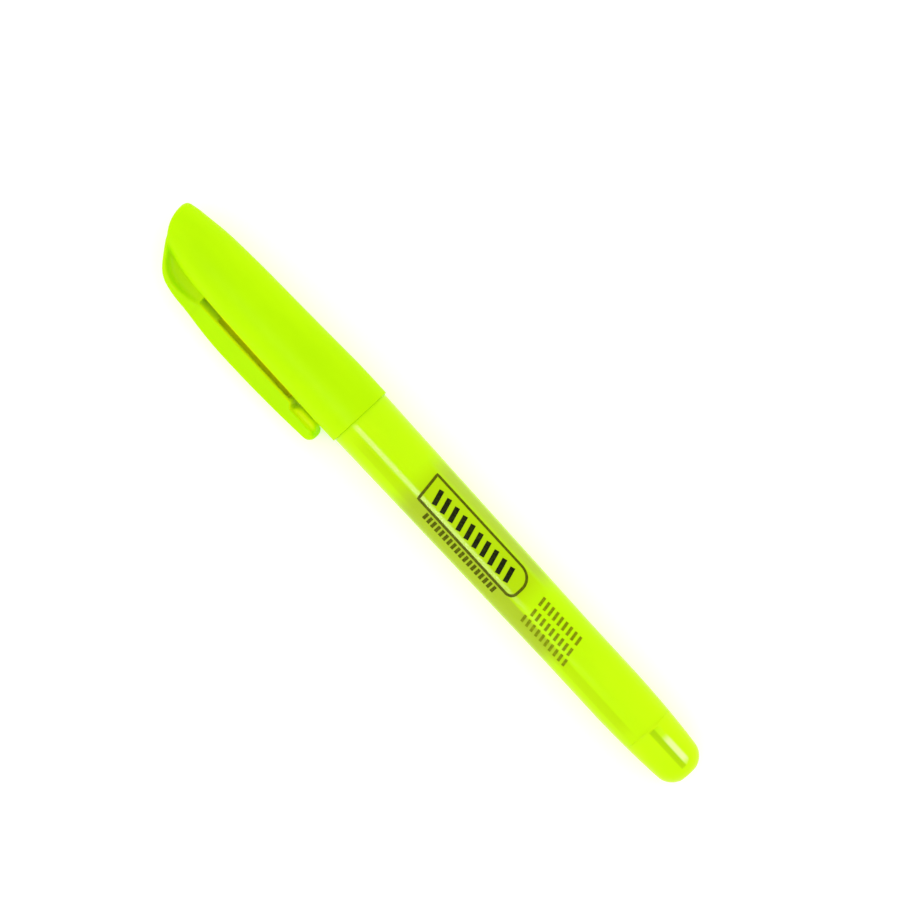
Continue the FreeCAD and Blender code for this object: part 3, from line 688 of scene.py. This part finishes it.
def make_inner_cap():
    """The soft cup inside the cap."""
    cup = eased([
        (10.5, 0.3), (10.5, 3.75), (27.0, 4.05), (27.0, 4.64),
        (29.5, 4.73), (29.5, 3.28), (11.5, 3.28), (11.5, 0.3),
    ], 0.25)
    piece = turned_tube("inner_cap_cup", cup, CAP, soft_white_plastic())
    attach(piece, "cap")
    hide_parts("inner_cap")


# ---------------------------------------------------------------- barrel, tail, nib and holder


def spigot_radius(x):
    """The radius that just clears the cap's bore."""
    share = (x - CAVITY_WAIST[0]) / (CAP_LENGTH - CAVITY_WAIST[0])
    return CAVITY_WAIST[1] + (CAVITY_MOUTH_RADIUS - CAVITY_WAIST[1]) * share - SPIGOT_CLEARANCE


def barrel_radius(x):
    """The barrel's outer radius behind the shoulder."""
    share = (x - SHOULDER_AT) / (GRIP_START - SHOULDER_AT)
    return np.where(x < GRIP_START, SHOULDER_RADIUS + (GRIP_RADIUS - SHOULDER_RADIUS) * share, GRIP_RADIUS)


def ribbed(x, angle, radius):
    """Four thin ribs along the inside of the barrel."""
    nearest = (angle + math.pi / RIBS) % (2 * math.pi / RIBS) - math.pi / RIBS
    side = np.clip((np.abs(nearest) * radius - 0.25) / 0.15, 0, 1)
    end = np.clip((np.abs(x - sum(RIB_RUN) / 2) - (RIB_RUN[1] - RIB_RUN[0]) / 2) / 0.8, 0, 1)
    is_bore = (radius < 4.75) & (x > RIB_RUN[0] - 0.7)
    rib = np.where(is_bore, (1 - side) * (1 - end), 0)
    return radius + (RIB_INNER_RADIUS - radius) * rib


def barrel_tones(x, y, z):
    """Painted shade: a dark line and band along the clip's side, and darker olive patches beside the print on the
    side facing up; also a darker olive ground under the print.
    """
    side, up = ROLL_BACK @ np.stack((y, z))
    facing = (up > 0) & (np.hypot(y, z) > 4.95)
    in_view = facing * window(up, 1.1, 20, 2.0)
    by_print = window(x, *PRINT_GROUND, 6.0)
    by_both_prints = window(x, PRINT_GROUND[0], SIDE_PRINT_END, 6.0)
    hairline = window(x, 52, 66, 1.5) * window(-side, 1.9, 2.2, 0.15)
    shade = window(x, 52, 122, 6.0) * window(-side, 2.3, 4.0, 0.35)
    return {
        "shade": facing * np.maximum(hairline, 0.8 * shade),
        "print_ground": facing * by_print * window(-side, -3.6, 2.3, 1.0),
        # painted shade beside the print, on the side facing up
        "print_far_side": by_print * window(side, 3.7, 6.5, 1.0) * in_view,
        "print_near_side": 0.9 * by_both_prints * window(-side, 2.3, 9, 0.35) * in_view,
    }


def make_barrel():
    """The barrel's tube: spigot, snap bead, shoulder, taper, grip and the bores inside."""
    bead = spigot_radius(BEAD_AT)
    outer = [(x, spigot_radius(x)) for x in (SPIGOT_START, BEAD_AT - 0.8)]
    outer += [(BEAD_AT + x, bead + BEAD_RISE * share) for x, share in ((-0.5, 0.5), (0, 1), (0.5, 0.5))]
    outer += [(x, spigot_radius(x)) for x in (BEAD_AT + 0.8, SHOULDER_AT)]
    outer += [(SHOULDER_AT, SHOULDER_RADIUS)]
    outer += [(GRIP_START, GRIP_RADIUS), (GRIP_END, GRIP_RADIUS)]
    outer += arc((GRIP_END, GRIP_RADIUS), (SEAM_AT, SEAM_RADIUS), BARREL_END_CURVE, 8)[1:]
    start, end = INK_BORE_RUN
    inner = [(SEAM_AT, PLUG_BORE), (end, PLUG_BORE), (end, INK_BORE[1]), (start, INK_BORE[0])]
    inner += [(HOLDER_SEAT_END, PLUG_BORE), (SPIGOT_START, PLUG_BORE)]
    outline = eased(outer + inner, 0.05)
    tube = turned_tube("barrel_tube", outline, BARREL, barrel_plastic(), 224, ribbed, barrel_tones)
    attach(tube, "barrel")
    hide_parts("barrel")


tail_skin = turned_field([
    (TAIL_FRONT, 0), (TAIL_FRONT, PLUG_BORE),
    (SEAM_AT - TAIL_STEP, PLUG_BORE), (SEAM_AT - TAIL_STEP, SEAM_RADIUS), (SEAM_AT, SEAM_RADIUS),
    *arc((SEAM_AT, SEAM_RADIUS), TAIL_BROW, TAIL_CURVE, 8)[1:],
    *arc(TAIL_BROW, (PEN_LENGTH, TAIL_FLAT), TAIL_ROUND, 14)[1:], (PEN_LENGTH, 0),
])
tail_hollow = turned_field([(114.0, 0), (114.0, 3.2), (127.0, 3.2), (130.5, 1.8), (130.5, 0)])


def notch_sides(y, z):
    """How far a point is below the notch's steep and shallow sides."""
    across, above = y - NOTCH_DEEPEST[0], z - NOTCH_DEEPEST[1]
    return [(lean * across - above) / math.hypot(1, lean) for lean in (NOTCH_STEEP, NOTCH_SHALLOW)]


def tail_field(x, y, z):
    """The rounded plug, less a short notch with one steep and one shallow side."""
    steep, shallow = notch_sides(y, z)
    ends = np.maximum(NOTCH_RUN[0] - x, x - NOTCH_RUN[1])
    notch = soft_max(soft_max(steep, shallow, 0.12), ends, 0.6)
    return soft_max(soft_max(tail_skin(x, y, z), -tail_hollow(x, y, z), 0.08), -notch, 0.12)


def tail_tones(x, y, z):
    """Painted shade on the notch's steep side, and a painted highlight on its shallow side."""
    outside = z > 3.9
    steep = window(x, 124.6, 133.3, 0.5) * window(y, -0.3, 0.78, 0.25)
    shallow = window(x, 127.3, 132.6, 1.8) * window(y, 0.8, 1.85, 0.4)
    return {"groove": steep * outside, "lens": shallow * outside}


def make_tail():
    low, high = (116.27, -5.8, -5.8), (135.7, 5.8, 5.8)
    tail = moulded("tail_plug_skin", tail_field, low, high, 0.14, PEN, tail_plastic(), tail_tones)
    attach(tail, "barrel")
    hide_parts("tail_plug")


def nib_field(x, y, z):
    """A rod with two flats that lean in to a slanted chisel edge."""
    rod = soft_max(np.hypot(y, z) - NIB_RADIUS, x - NIB_END, 0.3)
    lean = (NIB_RADIUS - NIB_EDGE) / (NIB_WEDGE - NIB_TIP)
    flats = (np.abs(z) - NIB_EDGE - (x - NIB_TIP) * lean) / math.hypot(1, lean)
    slant = NIB_SLANT / (2 * NIB_RADIUS)
    edge = (NIB_TIP + slant * (y + NIB_RADIUS) - x) / math.hypot(1, slant)
    return soft_max(soft_max(rod, flats, 0.35), edge, 0.3)


def make_nib():
    nib = moulded("nib_felt", nib_field, (12.0, -2.6, -2.6), (51.6, 2.6, 2.6), 0.16, PEN, felt())
    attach(nib, "barrel")
    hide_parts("nib")


holder_turning = turned_field([
    (17.6, 0), (17.6, 2.7), (21.0, 3.2), (32.6, 3.2), (32.6, 4.7),
    (SPIGOT_START, 4.7), (SPIGOT_START, PLUG_BORE), (46.5, PLUG_BORE), (46.5, 0),
])


def holder_field(x, y, z):
    """The section round the nib, with four air grooves along its flange and plug."""
    body = soft_max(holder_turning(x, y, z), NIB_RADIUS - np.hypot(y, z), 0.2)
    across = np.minimum(np.abs(y), np.abs(z))
    out = np.maximum(np.abs(y), np.abs(z))
    grooves = soft_max(across - 0.4, 3.7 - out, 0.15)
    return soft_max(body, -grooves, 0.15)


def make_holder():
    low, high = (16.9, -5.4, -5.4), (47.2, 5.4, 5.4)
    holder = moulded("nib_section", holder_field, low, high, 0.22, PEN, holder_plastic())
    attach(holder, "barrel")
    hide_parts("nib_holder")


def finish_reservoir():
    """The rod and its film keep their own shape and get new materials."""
    for node, material in (("reservoir_core", ink_fibre()), ("reservoir_film", film())):
        skin = frame["nodes"][node]
        skin.data.materials.clear()
        skin.data.materials.append(material)


# ---------------------------------------------------------------- print


def on_barrel(x, across):
    """The point on the barrel at a distance from the tip, and at a distance round it towards the clip."""
    radius = float(barrel_radius(x))
    angle = across / radius
    return x, -(radius + PRINT_LIFT) * math.sin(angle), (radius + PRINT_LIFT) * math.cos(angle)


def stroke(path, width, closed=False):
    """A ribbon of ink along a path of (x, across) points."""
    path = [np.array(p, float) for p in path]
    ends = list(zip(path, path[1:] + path[:1] if closed else path[1:]))
    points = []
    for start, end in ends:
        parts = max(2, math.ceil(np.hypot(*(end - start)) / 0.35))
        points += [start + (end - start) * n / parts for n in range(parts)]
    if not closed:
        points.append(path[-1])
    points = np.array(points)
    if closed:
        ahead = np.roll(points, -1, axis=0) - np.roll(points, 1, axis=0)
    else:
        ahead = np.gradient(points, axis=0)
    ahead /= np.hypot(ahead[:, 0], ahead[:, 1])[:, None]
    square = np.stack((-ahead[:, 1], ahead[:, 0]), axis=1) * width / 2
    sides = [points + square, points - square]
    vertices = [on_barrel(*p) for pair in zip(*sides) for p in pair]
    count = len(points)
    last = count if closed else count - 1
    faces = [(2 * n, (2 * n + 2) % (2 * count), (2 * n + 3) % (2 * count), 2 * n + 1) for n in range(last)]
    return vertices, faces


def printed(name, strokes, material):
    """One printed piece made of several strokes."""
    vertices, faces = [], []
    for more_vertices, more_faces in strokes:
        faces += [tuple(len(vertices) + n for n in face) for face in more_faces]
        vertices += more_vertices
    piece = add_mesh(name, vertices, faces, PEN, material)
    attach(piece, "barrel")


def panel_outline(front, end, low, high, corners):
    """A panel with a leaning front, and a large and a small round corner at its rear."""
    path = [(front[1], high), (front[0], low)]
    large, small = corners
    for corner, centre_height, first in ((large, low + large, -90), (small, high - small, 0)):
        for angle in np.radians(first + np.linspace(0, 90, 10)):
            path.append((end - corner + corner * math.cos(angle), centre_height + corner * math.sin(angle)))
    return path


def bars(start, pitch, count, low, high, width, lean=0.0):
    """A row of short leaning bars."""
    places = [start + pitch * n for n in range(count)]
    return [stroke([(x, low), (x + lean, high)], width) for x in places]


def make_print():
    """A panel with a row of bars, a row of ticks below it, and three rows of ticks beyond it."""
    dark = printed_ink("print_dark", (0.008, 0.010, 0.003), (0.03, 0.04, 0.004))
    olive = printed_ink("print_olive", (0.085, 0.10, 0.001), (0.14, 0.165, 0.002))
    pale = printed_ink("print_pale", (0.19, 0.24, 0.001), (0.30, 0.38, 0.002))
    panel = panel_outline((65.8, 66.6), 90.7, -3.4, 2.2, (3.0, 1.4))
    printed("print_panel", [stroke(panel, 0.52, closed=True)], olive)
    printed("print_hatch", bars(68.4, 2.05, 10, -1.9, 0.9, 0.95, 0.9), dark)
    printed("print_ticks", bars(69.8, 1.03, 18, 2.8, 4.3, 0.62), olive)
    rows = []
    for start, count, low, high in ((94.6, 9, -2.5, -0.7), (95.0, 9, 0.1, 1.6), (94.6, 10, 2.2, 3.8)):
        rows += bars(start, 1.18, count, low, high, 0.55, 0.3)
    printed("print_side_ticks", rows, pale)


# ---------------------------------------------------------------- floor, light and camera


def make_floor(middle):
    half = FLOOR_HALF_WIDTH
    corners = [(x, y, 0) for x, y in ((-half, -half), (half, -half), (half, half), (-half, half))]
    below = Matrix.Translation((middle.x, middle.y, 0))
    floor = add_mesh("floor", corners, [(0, 1, 2, 3)], below, white_board())


def make_highlight(place, target):
    """A reflector card that only shows as a highlight: its length runs along the pen."""
    data = bpy.data.lights.new("highlight_card", "AREA")
    data.shape = "RECTANGLE"
    data.size, data.size_y = CARD_LENGTH, CARD_WIDTH
    data.energy = CARD_POWER
    lamp = bpy.data.objects.new("highlight_card", data)
    bpy.context.scene.collection.objects.link(lamp)
    back = (place - target).normalized()
    axes = Matrix((along, back.cross(along).normalized(), back)).transposed()
    lamp.matrix_world = Matrix.Translation(place) @ axes.to_4x4()
    lamp.visible_diffuse = False


def light_studio():
    """Even white light from all round, and one card for the long highlight on the barrel."""
    world = bpy.data.worlds.new("studio")
    world.use_nodes = True
    world.node_tree.nodes["Background"].inputs["Color"].default_value = (1, 1, 1, 1)
    world.node_tree.nodes["Background"].inputs["Strength"].default_value = WORLD_STRENGTH
    bpy.context.scene.world = world
    middle = PEN @ Vector(((SHOULDER_AT + GRIP_START) / 2 + 1, 0, 0))
    angle = math.radians(CARD_ANGLE)
    make_highlight(middle + Vector((0, -math.sin(angle), math.cos(angle))) * CARD_DISTANCE, middle)


def make_camera(middle):
    """A camera looking straight down, turned and set off so that the pen lies as it should in the frame."""
    data = bpy.data.cameras.new("camera")
    data.sensor_width = 36
    data.lens = data.sensor_width * (CAMERA_HEIGHT - middle.z) / FRAME_WIDTH
    data.clip_start, data.clip_end = 0.05, 10
    camera = bpy.data.objects.new("camera", data)
    bpy.context.scene.collection.objects.link(camera)
    turn = Matrix.Rotation(math.radians(PEN_TURN), 3, "Z")
    shift = turn @ Vector((LEFT_OF_CENTRE, BELOW_CENTRE, 0))
    camera.location = (middle.x + shift.x, middle.y + shift.y, CAMERA_HEIGHT)
    camera.rotation_euler = (0, 0, math.radians(PEN_TURN))
    bpy.context.scene.camera = camera


make_cap()
make_inner_cap()
make_barrel()
make_tail()
make_nib()
make_holder()
finish_reservoir()
make_print()
pen_middle = PEN @ Vector((PEN_LENGTH / 2, 0, 0))
make_floor(pen_middle)
light_studio()
make_camera(pen_middle)
bpy.context.scene.view_settings.view_transform = "Standard"
